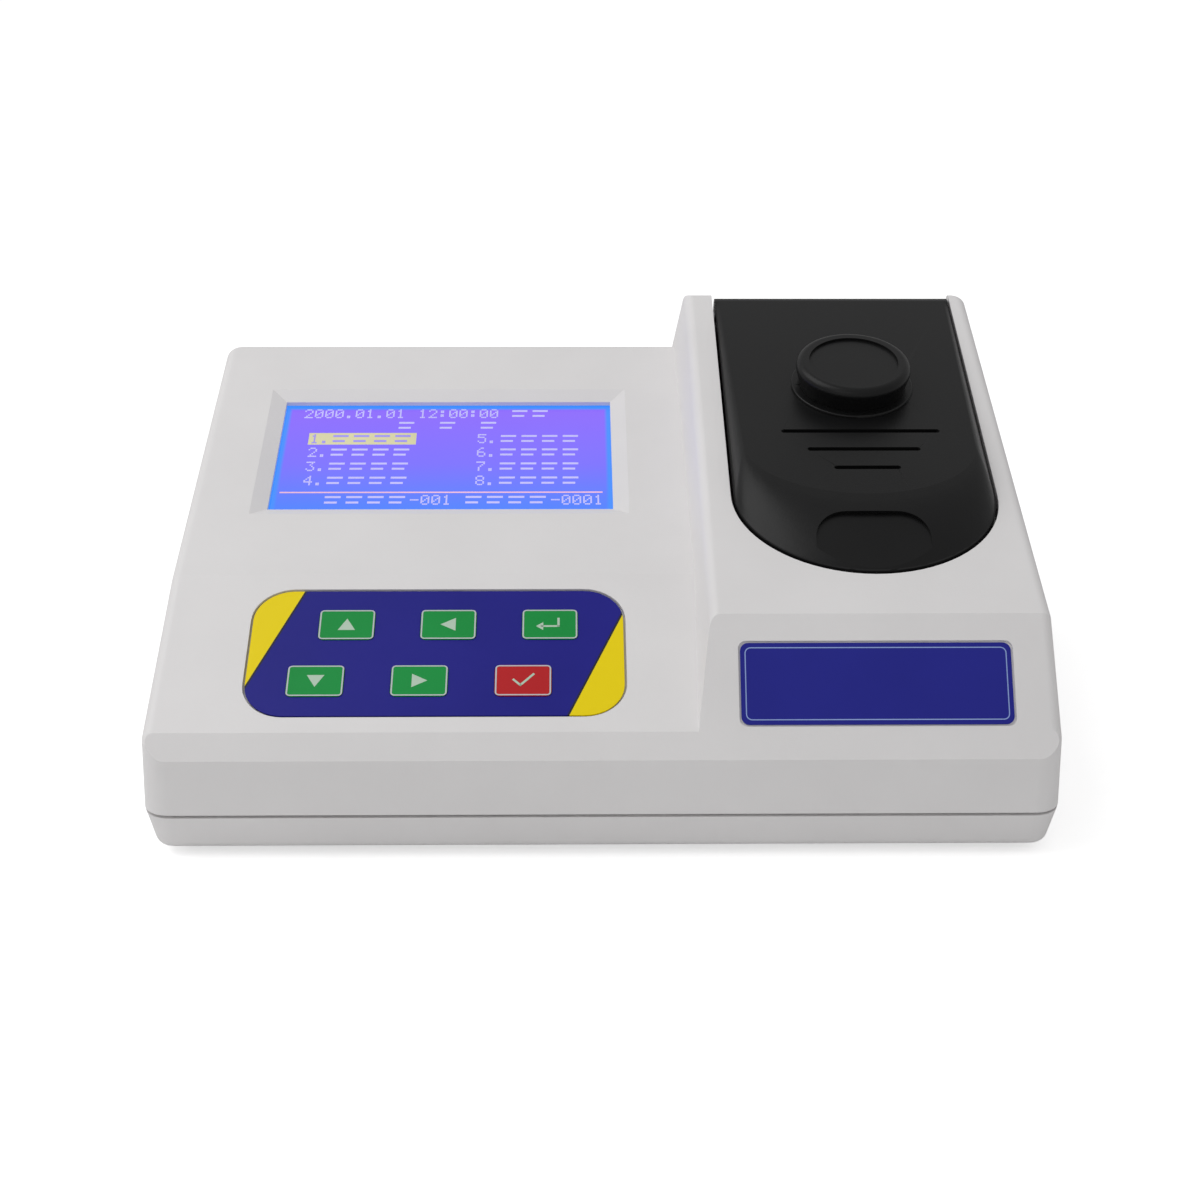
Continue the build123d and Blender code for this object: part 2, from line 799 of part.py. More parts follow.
# Plug: a turned cap with an undercut rim and a neck that fits the lid's port
with BuildPart() as light_plug:
    neck_radius = port_radius - plug_clearance
    foot_up = collar_height + plug_seat_gap
    top_up = collar_height + plug_height
    neck_low = collar_height - plug_neck_depth
    hollow = neck_radius - plug_neck_wall
    groove_up = collar_height - plug_neck_depth / 2
    with BuildSketch(section_at(well_plane)):
        with BuildLine():
            Polyline(
                (0, top_up - plug_recess_depth),
                (plug_recess_radius, top_up - plug_recess_depth),
                (plug_recess_radius, top_up),
                (plug_head_radius, top_up),
                (plug_foot_radius, foot_up),
                (neck_radius, foot_up),
                (neck_radius, groove_up + ring_section),
                (neck_radius - ring_depth, groove_up + ring_section),
                (neck_radius - ring_depth, groove_up - ring_section),
                (neck_radius, groove_up - ring_section),
                (neck_radius, neck_low),
                (hollow, neck_low),
                (hollow, foot_up + plug_recess_depth),
                (0, foot_up + plug_recess_depth),
                close=True,
            )
        make_face()
    revolve(axis=plane_axis(well_plane))
    rims = light_plug.edges().filter_by(GeomType.CIRCLE).group_by(plane_axis(well_plane))[-1]
    fillet(rims.sort_by(SortBy.LENGTH)[-1:], radius=plug_edge_radius)
save(light_plug.part, "light_plug")

# Sealing ring in the groove of the plug's neck
with BuildPart() as plug_ring:
    with BuildSketch(section_at(well_plane)):
        with Locations((neck_radius - ring_section, groove_up)):
            Circle(ring_section)
    revolve(axis=plane_axis(well_plane))
save(plug_ring.part, "plug_ring")

# Sample well: a black tube with a flange on the deck, a closed end and two optical pads
tube_radius = vial_radius + well_wall
with BuildPart() as sample_well:
    add(rod(well_plane, well_flange_radius, deck_top, well_top))
    add(rod(well_plane, tube_radius, well_bottom - well_floor, deck_top))
    pad_low = optic_height - optic_pad_width / 2
    add(slab(well_plane, 2 * optic_pad_half, optic_pad_width, pad_low, pad_low + optic_pad_width))
    add(rod(well_plane, vial_radius, well_bottom, well_top), mode=Mode.SUBTRACT)
    optic_centre = place(well_plane, 0, 0, optic_height)
    optic_plane = Plane(origin=optic_centre.origin, x_dir=optic_centre.y_dir, z_dir=(1, 0, 0))
    add(rod(optic_plane, port_bore, -optic_pad_half, optic_pad_half), mode=Mode.SUBTRACT)
    for side in (-1, 1):
        face = Plane(
            origin=place(well_plane, side * optic_pad_half, 0, optic_height).origin,
            x_dir=optic_centre.y_dir,
            z_dir=(side, 0, 0),
        )
        for turn in (-1, 1):
            spot = place(face, 0, turn * optic_screw_offset)
            add(rod(spot, optic_screw_radius, -3 * optic_screw_radius, 0), mode=Mode.SUBTRACT)
save(sample_well.part, "sample_well")

# Foam ring on the well's flange that the closed lid presses on
with BuildPart() as light_seal_ring:
    add(rod(well_plane, seal_outer_radius, well_top, liner_bottom - seal_gap))
    add(rod(well_plane, seal_inner_radius, well_top, liner_bottom), mode=Mode.SUBTRACT)
save(light_seal_ring.part, "light_seal_ring")


def optic_face(side, out=0.0):
    """The face of an optical pad, left or right of the well, or a plane further out."""
    spot = place(well_plane, side * (optic_pad_half + out), 0, optic_height)
    return Plane(origin=spot.origin, x_dir=well_plane.y_dir, z_dir=(side, 0, 0))


def optic_block_part(side, length, bore, bore_depth):
    """A block screwed to a pad, bored from its outer end, with a narrow light path to the well."""
    with BuildPart() as block:
        add(slab(optic_face(side), optic_block, optic_block, 0, length))
        add(rod(optic_face(side), port_bore / 2, 0, length), mode=Mode.SUBTRACT)
        add(rod(optic_face(side), bore, length - bore_depth, length), mode=Mode.SUBTRACT)
        for turn in (-1, 1):
            hole = optic_screw_radius + optic_running
            add(rod(place(optic_face(side), 0, turn * optic_screw_offset), hole, 0, length), mode=Mode.SUBTRACT)
    return block.part


def optic_board_part(side, length):
    """A small square board on the outer end of a block."""
    with BuildPart() as board:
        add(slab(optic_face(side), detector_board_size, detector_board_size, length, length + board_thickness))
        for turn in (-1, 1):
            hole = optic_screw_radius + optic_running
            spot = place(optic_face(side), 0, turn * optic_screw_offset)
            add(rod(spot, hole, length, length + board_thickness), mode=Mode.SUBTRACT)
    return board.part


# Lamp side: block, board, lamp and lens, with the lens in the wall of the well
lamp_housing = optic_block_part(-1, lamp_block_length, led_flange_radius + optic_running, led_length)
save(lamp_housing, "lamp_housing")
save(optic_board_part(-1, lamp_block_length), "lamp_board")

with BuildPart() as lamp_led:
    base = optic_face(-1, lamp_block_length)
    add(rod(base, led_flange_radius, -led_flange_thickness, 0))
    add(rod(base, led_radius, led_radius - led_length, 0))
    with Locations(place(base, 0, 0, led_radius - led_length)):
        Sphere(led_radius)
save(lamp_led.part, "lamp_led")

with BuildPart() as collimator_lens:
    seat = optic_face(-1, -lens_crown)
    add(rod(seat, port_bore - optic_running, -lens_thickness, 0))
    dome = (port_bore**2 + lens_crown**2) / (2 * lens_crown)
    with BuildPart(mode=Mode.PRIVATE) as crown:
        with Locations(place(seat, 0, 0, lens_crown - dome)):
            Sphere(dome)
        add(rod(seat, port_bore - optic_running, 0, lens_crown), mode=Mode.INTERSECT)
    add(crown.part)
save(collimator_lens.part, "collimator_lens")

# Detector side: the same block with the photodiode, and a coloured filter in the well's wall
save(
    optic_block_part(1, detector_block_length, diode_radius + optic_running, diode_length),
    "detector_housing",
)
save(optic_board_part(1, detector_block_length), "detector_board")
save(rod(optic_face(1, detector_block_length), diode_radius, -diode_length, 0), "photodiode")
save(rod(optic_face(1), port_bore - optic_running, -filter_thickness, 0), "colour_filter")

with BuildPart() as optics_screws:
    for side, length in ((-1, lamp_block_length), (1, detector_block_length)):
        for turn in (-1, 1):
            seat = place(optic_face(side, length + board_thickness), 0, turn * optic_screw_offset)
            reach = length + board_thickness + 3 * optic_screw_radius
            add(screw(seat, optic_screw_radius, reach, optic_screw_head, optic_screw_radius))
save(optics_screws.part, "optics_screws")

# Display module: metal bezel, glass, backlight and its board, screwed to four posts
bezel_back = -lcd_seat_depth - bezel_drop
with BuildPart() as lcd_bezel:
    add(slab(lcd_spot, bezel_width, bezel_height, bezel_back, -lcd_seat_depth))
    inner = (bezel_width - 2 * bezel_sheet, bezel_height - 2 * bezel_sheet)
    add(slab(lcd_spot, *inner, bezel_back, -lcd_seat_depth - bezel_sheet), mode=Mode.SUBTRACT)
    view = (window_width + glass_margin, window_height + glass_margin)
    add(slab(lcd_spot, *view, bezel_back, 0), mode=Mode.SUBTRACT)
save(lcd_bezel.part, "lcd_bezel")

with BuildPart() as lcd_glass:
    glass = (bezel_width - 2 * glass_margin, bezel_height - 2 * glass_margin)
    glass_front = -lcd_seat_depth - bezel_sheet
    add(slab(lcd_spot, *glass, glass_front - glass_thickness, glass_front))
save(lcd_glass.part, "lcd_glass")

with BuildPart() as lcd_backlight:
    add(slab(lcd_spot, *glass, bezel_back, glass_front - glass_thickness))
save(lcd_backlight.part, "lcd_backlight")

with BuildPart() as lcd_board:
    add(slab(lcd_spot, module_width, module_height, bezel_back - board_thickness, bezel_back, module_corner))
    for x, up in module_screw_spots:
        hole = board_screw_radius + case_screw_clearance
        add(rod(place(lcd_spot, x, up), hole, bezel_back - board_thickness, bezel_back), mode=Mode.SUBTRACT)
save(lcd_board.part, "lcd_board")

with BuildPart() as lcd_screws:
    for x, up in module_screw_spots:
        spot = place(lcd_spot, x, up, bezel_back - board_thickness)
        seat = Plane(origin=spot.origin, x_dir=spot.x_dir, z_dir=-spot.z_dir)
        add(screw(seat, board_screw_radius, bezel_drop - board_thickness, board_screw_head_radius, board_screw_head))
save(lcd_screws.part, "lcd_screws")

# Keypad: a spacer with six cavities, snap domes, six keys and the printed overlay
overlay_back = spacer_thickness
overlay_front = spacer_thickness + overlay_thickness
flange_size = (key_width + 2 * key_flange, key_height + 2 * key_flange)
with BuildPart() as keypad_spacer:
    spacer = (overlay_width - 2 * spacer_inset, overlay_height - 2 * spacer_inset)
    add(slab(keypad_spot, *spacer, 0, spacer_thickness, overlay_radius - spacer_inset))
    cavity = (flange_size[0] + 4 * key_clearance, flange_size[1] + 4 * key_clearance)
    for x, up in key_places:
        add(slab(place(keypad_spot, x, up), *cavity, 0, spacer_thickness), mode=Mode.SUBTRACT)
    notch = (tail_width + tail_slot_width, 2 * tail_slot_width)
    add(slab(place(keypad_spot, 0, tail_up), *notch, 0, spacer_thickness), mode=Mode.SUBTRACT)
save(keypad_spacer.part, "keypad_spacer")

with BuildPart() as keypad_overlay:
    add(slab(keypad_spot, overlay_width, overlay_height, overlay_back, overlay_front, overlay_radius))
    window = (key_width + 2 * key_clearance, key_height + 2 * key_clearance)
    for x, up in key_places:
        spot = place(keypad_spot, x, up)
        add(slab(spot, *window, overlay_back, overlay_front, key_radius + key_clearance), mode=Mode.SUBTRACT)
save(keypad_overlay.part, "keypad_overlay")

flange_top = overlay_back - key_flange_gap
flange_low = flange_top - key_flange_thickness
with BuildPart() as keypad_domes:
    for x, up in key_places:
        dome_height = flange_low - key_travel - dome_clearance
        base = place(keypad_spot, x, up)
        with BuildSketch(base):
            Circle(dome_radius)
        extrude(amount=dome_height, taper=degrees(atan(dome_radius / 4 / dome_height)))
save(keypad_domes.part, "keypad_domes")

for name, (x, up) in zip(key_names, key_places):
    with BuildPart() as key:
        spot = place(keypad_spot, x, up)
        add(slab(spot, key_width, key_height, flange_top, overlay_front + key_proud, key_radius))
        add(slab(spot, *flange_size, flange_low, flange_top, key_radius))
    save(key.part, name)

# Bare name plate in its shallow pocket
save(slab(plate_spot, plate_width, plate_height, plate_floor, -plate_sink, plate_radius), "name_plate")

# Main board on four standoffs, with its parts
board_plane = Plane(origin=(main_board_x, main_board_y, board_top))
with BuildPart() as main_board:
    add(slab(board_plane, main_board_width, main_board_depth, -board_thickness, 0, module_corner))
    for x, y in standoff_spots:
        hole = board_screw_radius + case_screw_clearance
        add(rod(Plane(origin=(x, y, board_z)), hole, 0, board_thickness), mode=Mode.SUBTRACT)
save(main_board.part, "main_board")

with BuildPart() as board_screws:
    for x, y in standoff_spots:
        seat = Plane(origin=(x, y, board_top))
        reach = case_screw_length / 2
        add(screw(seat, board_screw_radius, reach, board_screw_head_radius, board_screw_head))
save(board_screws.part, "board_screws")

with BuildPart() as board_chips:
    add(slab(place(board_plane, processor_x, processor_y), processor_size, processor_size, 0, chip_height))
    for count in range(memory_count):
        spot = place(board_plane, processor_x + processor_size, processor_y + (count - 0.5) * chip_pitch)
        add(slab(spot, chip_width, chip_depth, 0, chip_height))
    for count in range(regulator_count):
        spot = place(board_plane, regulator_x + count * chip_pitch, regulator_y)
        add(slab(spot, chip_width / 2, chip_depth, 0, 2 * chip_height))
save(board_chips.part, "board_chips")

with BuildPart() as board_capacitors:
    for count in range(capacitor_count):
        spot = place(board_plane, capacitor_x + count * capacitor_pitch, capacitor_y)
        add(rod(spot, capacitor_radius, 0, capacitor_height))
        fillet(board_capacitors.edges().group_by(Axis.Z)[-1], radius=capacitor_radius / 5)
save(board_capacitors.part, "board_capacitors")

buzzer_spot = place(board_plane, buzzer_x, buzzer_y)
with BuildPart() as buzzer:
    add(rod(buzzer_spot, buzzer_radius, 0, buzzer_height))
    add(rod(buzzer_spot, buzzer_radius / 5, buzzer_height / 2, buzzer_height), mode=Mode.SUBTRACT)
save(buzzer.part, "buzzer")

# Clock battery in its holder
cell_spot = place(board_plane, cell_x, cell_y)
with BuildPart() as battery_holder:
    add(rod(cell_spot, cell_radius + holder_wall, 0, cell_thickness + holder_wall))
    add(rod(cell_spot, cell_radius + pin_running, holder_wall, 2 * cell_thickness), mode=Mode.SUBTRACT)
save(battery_holder.part, "battery_holder")
save(rod(cell_spot, cell_radius, holder_wall, holder_wall + cell_thickness), "clock_battery")

# Flat cables: from the display board and from the keypad down to the main board
display_socket_y = main_board_y - main_board_depth / 2 + 2 * socket_depth
keypad_socket_y = main_board_y - main_board_depth / 2 + socket_depth / 2
with BuildPart() as board_sockets:
    for x, y, width in ((ribbon_x, display_socket_y, ribbon_width), (overlay_x, keypad_socket_y, tail_width)):
        spot = Plane(origin=(x, y, board_top))
        add(slab(spot, width + 2 * socket_wall, socket_depth, 0, socket_height))
save(board_sockets.part, "board_sockets")


def strip(x, width, thickness, path, bend):
    """A flat cable: a strip that bends along a path seen from the side."""
    with BuildPart() as cable:
        with BuildSketch(Plane.YZ.offset(x - width / 2)):
            with BuildLine():
                FilletPolyline(*path, radius=bend)
            trace(line_width=thickness)
        extrude(amount=width)
    return cable.part


# The ribbon drops from the display board, bends to the rear and comes down on its socket
socket_top = board_top + socket_height
ribbon_top = place(lcd_spot, 0, ribbon_up, bezel_back - board_thickness).origin
ribbon_path = [
    (ribbon_top.Y, ribbon_top.Z - ribbon_thickness / 2 - cable_clearance),
    (ribbon_top.Y, (ribbon_top.Z + socket_top) / 2),
    (display_socket_y, (ribbon_top.Z + socket_top) / 2 - ribbon_bend),
    (display_socket_y, socket_top),
]
save(strip(ribbon_x, ribbon_width, ribbon_thickness, ribbon_path, ribbon_bend), "lcd_ribbon")

# The keypad's tail goes down through its slot, to the rear and onto its socket
tail_top = place(keypad_spot, 0, tail_up, -cable_clearance).origin
tail_path = [
    (tail_top.Y, tail_top.Z),
    (tail_top.Y, socket_top + 3 * ribbon_bend),
    (keypad_socket_y, socket_top + 2 * ribbon_bend),
    (keypad_socket_y, socket_top),
]
save(strip(overlay_x, tail_width, tail_thickness, tail_path, ribbon_bend), "keypad_tail")

# Power switch: a housing in the rear recess and a rocker on two pivots
switch_face = port_plane(switch_x)
rocker_pivot = place(switch_face, 0, 0, switch_flange - rocker_pivot_depth)
rocker_axis_plane = Plane(origin=rocker_pivot.origin, x_dir=(-1, 0, 0), z_dir=(0, 0, 1))
cavity_radius = rocker_width / 2 + rocker_clearance
cavity_half = rocker_height / 2 + rocker_clearance
with BuildPart() as switch_housing:
    add(slab(switch_face, switch_width, switch_height, 0, switch_flange, module_corner))
    add(slab(switch_face, switch_body_width, switch_body_height, -switch_body_depth, 0))
    add(rod(rocker_axis_plane, cavity_radius, -cavity_half, cavity_half), mode=Mode.SUBTRACT)
    mouth = (2 * cavity_radius, 2 * cavity_half)
    add(slab(switch_face, *mouth, switch_flange - rocker_pivot_depth, 2 * switch_flange), mode=Mode.SUBTRACT)
    pivot_half = cavity_half + rocker_pivot_reach
    add(rod(rocker_axis_plane, rocker_pivot_radius + pin_running, -pivot_half, pivot_half), mode=Mode.SUBTRACT)
    for side in (-1, 0, 1):
        spot = place(switch_face, side * terminal_pitch, 0)
        blade = (terminal_thickness, terminal_width)
        add(slab(spot, *blade, -switch_body_depth - terminal_length, -switch_body_depth))
save(switch_housing.part, "switch_housing")

with BuildPart() as power_rocker:
    half_height = rocker_height / 2
    with BuildSketch(rocker_axis_plane.offset(-half_height)):
        Circle(rocker_width / 2)
        with Locations((0, -rocker_width / 2 - rocker_back)):
            Rectangle(2 * rocker_width, rocker_width, mode=Mode.SUBTRACT)
        with BuildLine():
            Polyline(
                (-rocker_width, rocker_crown),
                (-rocker_width / 2, rocker_crown),
                (0, rocker_dip),
                (rocker_width / 2, rocker_crown),
                (rocker_width, rocker_crown),
                (rocker_width, rocker_width),
                (-rocker_width, rocker_width),
                close=True,
            )
        make_face(mode=Mode.SUBTRACT)
    extrude(amount=rocker_height)
    pin_half = half_height + rocker_clearance + rocker_pivot_reach - pin_end_clearance
    add(rod(rocker_axis_plane, rocker_pivot_radius, -pin_half, pin_half))
rocker_rest = power_rocker.part.rotate(Axis(rocker_pivot.origin, (0, 0, 1)), rocker_throw / 2)
save(rocker_rest, "power_rocker")

# Direct current socket with its nut
jack_face = port_plane(jack_x)
with BuildPart() as dc_jack:
    add(rod(jack_face, jack_flange_radius, 0, jack_flange))
    add(rod(jack_face, jack_radius, -jack_length, 0))
    add(rod(jack_face, jack_bore_radius, -jack_length + 2 * jack_flange, jack_flange), mode=Mode.SUBTRACT)
    add(rod(jack_face, jack_pin_radius, -jack_length + jack_flange, -jack_flange))
save(dc_jack.part, "dc_jack")

with BuildPart() as jack_nut_part:
    with BuildSketch(jack_face.offset(-case_wall)):
        RegularPolygon(jack_nut_width / 2, 6, major_radius=False)
    extrude(amount=-jack_nut)
    add(rod(jack_face, jack_radius + pin_running, -case_wall - jack_nut, -case_wall), mode=Mode.SUBTRACT)
save(jack_nut_part.part, "dc_jack_nut")

# Square data socket, standing on the main board
usb_face = port_plane(usb_x)
with BuildPart() as usb_port:
    add(slab(usb_face, usb_width, usb_height, usb_front - usb_length, usb_front))
    hollow_size = (usb_width - 2 * usb_wall, usb_height - 2 * usb_wall)
    add(slab(usb_face, *hollow_size, usb_front - usb_length + 2 * usb_wall, usb_front), mode=Mode.SUBTRACT)
    tongue = (usb_width / 2, usb_height / 3)
    add(slab(usb_face, *tongue, usb_front - usb_length + usb_wall, usb_front - 2 * usb_wall))
save(usb_port.part, "usb_port")
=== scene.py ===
from math import cos, pi, radians, sin

import bmesh
import bpy
from mathutils import Matrix, Vector
from mathutils.bvhtree import BVHTree


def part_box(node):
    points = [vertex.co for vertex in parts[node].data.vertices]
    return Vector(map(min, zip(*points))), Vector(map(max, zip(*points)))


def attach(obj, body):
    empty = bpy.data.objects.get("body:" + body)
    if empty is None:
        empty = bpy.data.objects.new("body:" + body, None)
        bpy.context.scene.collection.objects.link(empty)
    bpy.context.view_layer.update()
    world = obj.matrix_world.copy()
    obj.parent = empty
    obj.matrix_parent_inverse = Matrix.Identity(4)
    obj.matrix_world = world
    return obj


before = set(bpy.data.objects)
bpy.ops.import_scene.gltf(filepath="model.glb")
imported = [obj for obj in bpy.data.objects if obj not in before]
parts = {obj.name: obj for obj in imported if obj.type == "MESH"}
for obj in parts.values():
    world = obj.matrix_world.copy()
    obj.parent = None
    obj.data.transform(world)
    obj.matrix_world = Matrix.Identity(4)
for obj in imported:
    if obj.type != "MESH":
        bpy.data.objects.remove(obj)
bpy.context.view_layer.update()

# Base tray and top cover.
# Two injection mouldings in off-white ABS with a fine spark-eroded grain.
# They meet at a thin split line and are held by four screws from below.


def grained(name, pale, dark, grain, roughness, relief, **settings):
    material = bpy.data.materials.new(name)
    material.use_nodes = True
    nodes, links = material.node_tree.nodes, material.node_tree.links
    shader = nodes["Principled BSDF"]
    place = nodes.new("ShaderNodeTexCoord").outputs["Object"]
    cloud = nodes.new("ShaderNodeTexNoise")
    cloud.inputs["Scale"].default_value = 26
    cloud.inputs["Detail"].default_value = 4
    links.new(place, cloud.inputs["Vector"])
    shade = nodes.new("ShaderNodeValToRGB")
    shade.color_ramp.elements[0].position = 0.35
    shade.color_ramp.elements[0].color = (*dark, 1)
    shade.color_ramp.elements[1].position = 0.65
    shade.color_ramp.elements[1].color = (*pale, 1)
    links.new(cloud.outputs["Fac"], shade.inputs["Fac"])
    links.new(shade.outputs["Color"], shader.inputs["Base Color"])
    gloss = nodes.new("ShaderNodeMapRange")
    gloss.inputs["To Min"].default_value = roughness - 0.05
    gloss.inputs["To Max"].default_value = roughness + 0.05
    links.new(cloud.outputs["Fac"], gloss.inputs["Value"])
    links.new(gloss.outputs["Result"], shader.inputs["Roughness"])
    sparks = nodes.new("ShaderNodeTexNoise")
    sparks.inputs["Scale"].default_value = 1 / grain
    sparks.inputs["Detail"].default_value = 2
    links.new(place, sparks.inputs["Vector"])
    bump = nodes.new("ShaderNodeBump")
    bump.inputs["Strength"].default_value = relief
    bump.inputs["Distance"].default_value = 0.0001
    links.new(sparks.outputs["Fac"], bump.inputs["Height"])
    links.new(bump.outputs["Normal"], shader.inputs["Normal"])
    for socket, value in settings.items():
        shader.inputs[socket.replace("_", " ")].default_value = value
    return material


def cover_with(material, *names):
    for name in names:
        piece = parts[name]
        if not piece.material_slots:
            piece.data.materials.append(material)
        for place in piece.material_slots:
            place.material = material


case_plastic = grained(
    "case_plastic", (0.80, 0.785, 0.785), (0.775, 0.76, 0.76), 0.0005, 0.48, 0.25, IOR=1.5
)
cover_with(case_plastic, "base_tray", "top_cover")

# Feet, the plug's sealing ring and the foam ring at the well.
# The feet are moulded black rubber buttons, pushed into holes in the tray.
# The sealing ring is softer rubber and the light seal is open-cell foam.
foot_rubber = grained("foot_rubber", (0.03, 0.03, 0.031), (0.018, 0.018, 0.018), 0.0006, 0.75, 0.5)
cover_with(foot_rubber, "rubber_feet", "plug_ring")
seal_foam = grained("seal_foam", (0.02, 0.02, 0.021), (0.008, 0.008, 0.008), 0.0004, 0.92, 1.0)
cover_with(seal_foam, "light_seal_ring")

# Screws, pins, the display's bent frame, the data socket's shell and the domes.
# They are zinc or nickel plated steel, pressed or cold formed.
# The plating is bright, with a slight streak along each piece.
plated_steel = grained(
    "plated_steel", (0.62, 0.62, 0.64), (0.5, 0.5, 0.52), 0.0003, 0.3, 0.15, Metallic=1.0
)
cover_with(
    plated_steel, "case_screws", "liner_screws", "optics_screws", "lcd_screws", "board_screws", "hinge_pins",
    "lcd_bezel", "usb_port", "clock_battery", "dc_jack_nut", "keypad_domes",
)

# Circuit boards and what stands on them.
# Glass fibre boards under green solder mask carry black chips and sockets.
# The capacitors wear a dark blue sleeve, and the cables are pale film.
solder_mask = grained("solder_mask", (0.012, 0.16, 0.06), (0.008, 0.11, 0.04), 0.0009, 0.35, 0.2)
cover_with(solder_mask, "main_board", "lcd_board", "lamp_board", "detector_board")
chip_resin = grained("chip_resin", (0.028, 0.028, 0.03), (0.015, 0.015, 0.016), 0.0003, 0.5, 0.4)
cover_with(
    chip_resin, "board_chips", "board_sockets", "buzzer", "battery_holder", "photodiode",
)
capacitor_sleeve = grained("capacitor_sleeve", (0.02, 0.03, 0.11), (0.015, 0.02, 0.08), 0.0008, 0.25, 0.1)
cover_with(capacitor_sleeve, "board_capacitors")
cable_film = grained("cable_film", (0.72, 0.72, 0.69), (0.62, 0.62, 0.6), 0.0006, 0.4, 0.2)
cover_with(cable_film, "lcd_ribbon", "keypad_tail")

# Rear switch and power socket.
# Glossy black polycarbonate rocker in a black snap-in body.
# The socket is a black barrel socket with a plated nut.
socket_black = grained("socket_black", (0.03, 0.03, 0.031), (0.02, 0.02, 0.021), 0.0004, 0.32, 0.2)
cover_with(socket_black, "switch_housing", "power_rocker", "dc_jack")

# Sample well and the two housings beside it.
# They are matt black mouldings, so that no stray light comes back.
# A lens, a lamp and a glass filter sit in the light path.
well_black = grained("well_black", (0.022, 0.022, 0.023), (0.013, 0.013, 0.013), 0.0004, 0.62, 0.5)
cover_with(well_black, "sample_well", "lamp_housing", "detector_housing")
clear_resin = grained(
    "clear_resin", (0.95, 0.96, 0.97), (0.9, 0.92, 0.94), 0.001, 0.08, 0.05, Transmission_Weight=0.9, IOR=1.5
)
cover_with(clear_resin, "lamp_led", "collimator_lens")
filter_glass = grained(
    "filter_glass", (0.1, 0.4, 0.85), (0.08, 0.34, 0.75), 0.001, 0.08, 0.05, Transmission_Weight=0.8, IOR=1.52
)
cover_with(filter_glass, "colour_filter")

# Display.
# A blue backlit graphic module lies behind the window, brighter at its rim.
# Rows of dots are drawn on it in pale lavender: only digits and plain bars.
lcd_tilt = radians(15.9)
window_half = (0.05575, 0.0312)
rim_glow = 0.0022
backlight_milk = grained("backlight_milk", (0.85, 0.87, 0.9), (0.8, 0.82, 0.86), 0.001, 0.4, 0.1)
cover_with(backlight_milk, "lcd_backlight", "keypad_spacer")


def front_frame(name, tilt):
    """Where the front face of a sloping piece is: its middle, with x across and y up the slope."""
    low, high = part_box(name)
    middle = (low + high) / 2
    normal = Vector((0, -sin(tilt), cos(tilt)))
    front = max(corner.co.dot(normal) for corner in parts[name].data.vertices)
    middle = middle + normal * (front - middle.dot(normal))
    turn = Matrix.Rotation(tilt, 4, "X")
    return Matrix.Translation(middle) @ turn


def sums(nodes, links, operation, first, second):
    node = nodes.new("ShaderNodeMath")
    node.operation = operation
    for socket, value in zip(node.inputs, (first, second)):
        if isinstance(value, (int, float)):
            socket.default_value = value
        else:
            links.new(value, socket)
    return node.outputs[0]


def slope_places(nodes, links, middle, tilt):
    """How far each point lies across and up the slope from a middle."""
    place = nodes.new("ShaderNodeTexCoord").outputs["Object"]
    axes = []
    for axis in (Vector((1, 0, 0)), Vector((0, cos(tilt), sin(tilt)))):
        dot = nodes.new("ShaderNodeVectorMath")
        dot.operation = "DOT_PRODUCT"
        dot.inputs[1].default_value = axis
        links.new(place, dot.inputs[0])
        axes.append(sums(nodes, links, "SUBTRACT", dot.outputs["Value"], middle.dot(axis)))
    return axes


glass_frame = front_frame("lcd_glass", lcd_tilt)
display_glow = grained("display_glow", (0.02, 0.02, 0.06), (0.015, 0.015, 0.05), 0.001, 0.16, 0.02)
nodes, links = display_glow.node_tree.nodes, display_glow.node_tree.links
across, up = slope_places(nodes, links, glass_frame.translation, lcd_tilt)
height = nodes.new("ShaderNodeMapRange")
height.inputs["From Min"].default_value = -window_half[1]
height.inputs["From Max"].default_value = window_half[1]
links.new(up, height.inputs["Value"])
tint = nodes.new("ShaderNodeValToRGB")
tint.color_ramp.elements[0].position = 0.0
tint.color_ramp.elements[0].color = (0.045, 0.22, 1.0, 1)
tint.color_ramp.elements[1].position = 1.0
tint.color_ramp.elements[1].color = (0.26, 0.125, 0.95, 1)
middle_tint = tint.color_ramp.elements.new(0.45)
middle_tint.color = (0.19, 0.15, 1.0, 1)
links.new(height.outputs["Result"], tint.inputs["Fac"])
side_gap = sums(nodes, links, "SUBTRACT", window_half[0], sums(nodes, links, "ABSOLUTE", across, 0))
end_gap = sums(nodes, links, "SUBTRACT", window_half[1], sums(nodes, links, "ABSOLUTE", up, 0))
gap = sums(nodes, links, "MINIMUM", side_gap, end_gap)
edge_share = nodes.new("ShaderNodeMapRange")
edge_share.inputs["From Min"].default_value = rim_glow
edge_share.inputs["From Max"].default_value = rim_glow * 0.5
links.new(gap, edge_share.inputs["Value"])
rim_tint = nodes.new("ShaderNodeMix")
rim_tint.data_type = "RGBA"
rim_tint.inputs[7].default_value = (0.045, 0.27, 1.0, 1)
links.new(edge_share.outputs["Result"], rim_tint.inputs[0])
links.new(tint.outputs["Color"], rim_tint.inputs[6])
links.new(rim_tint.outputs[2], nodes["Principled BSDF"].inputs["Emission Color"])
nodes["Principled BSDF"].inputs["Emission Strength"].default_value = 0.95
cover_with(display_glow, "lcd_glass")


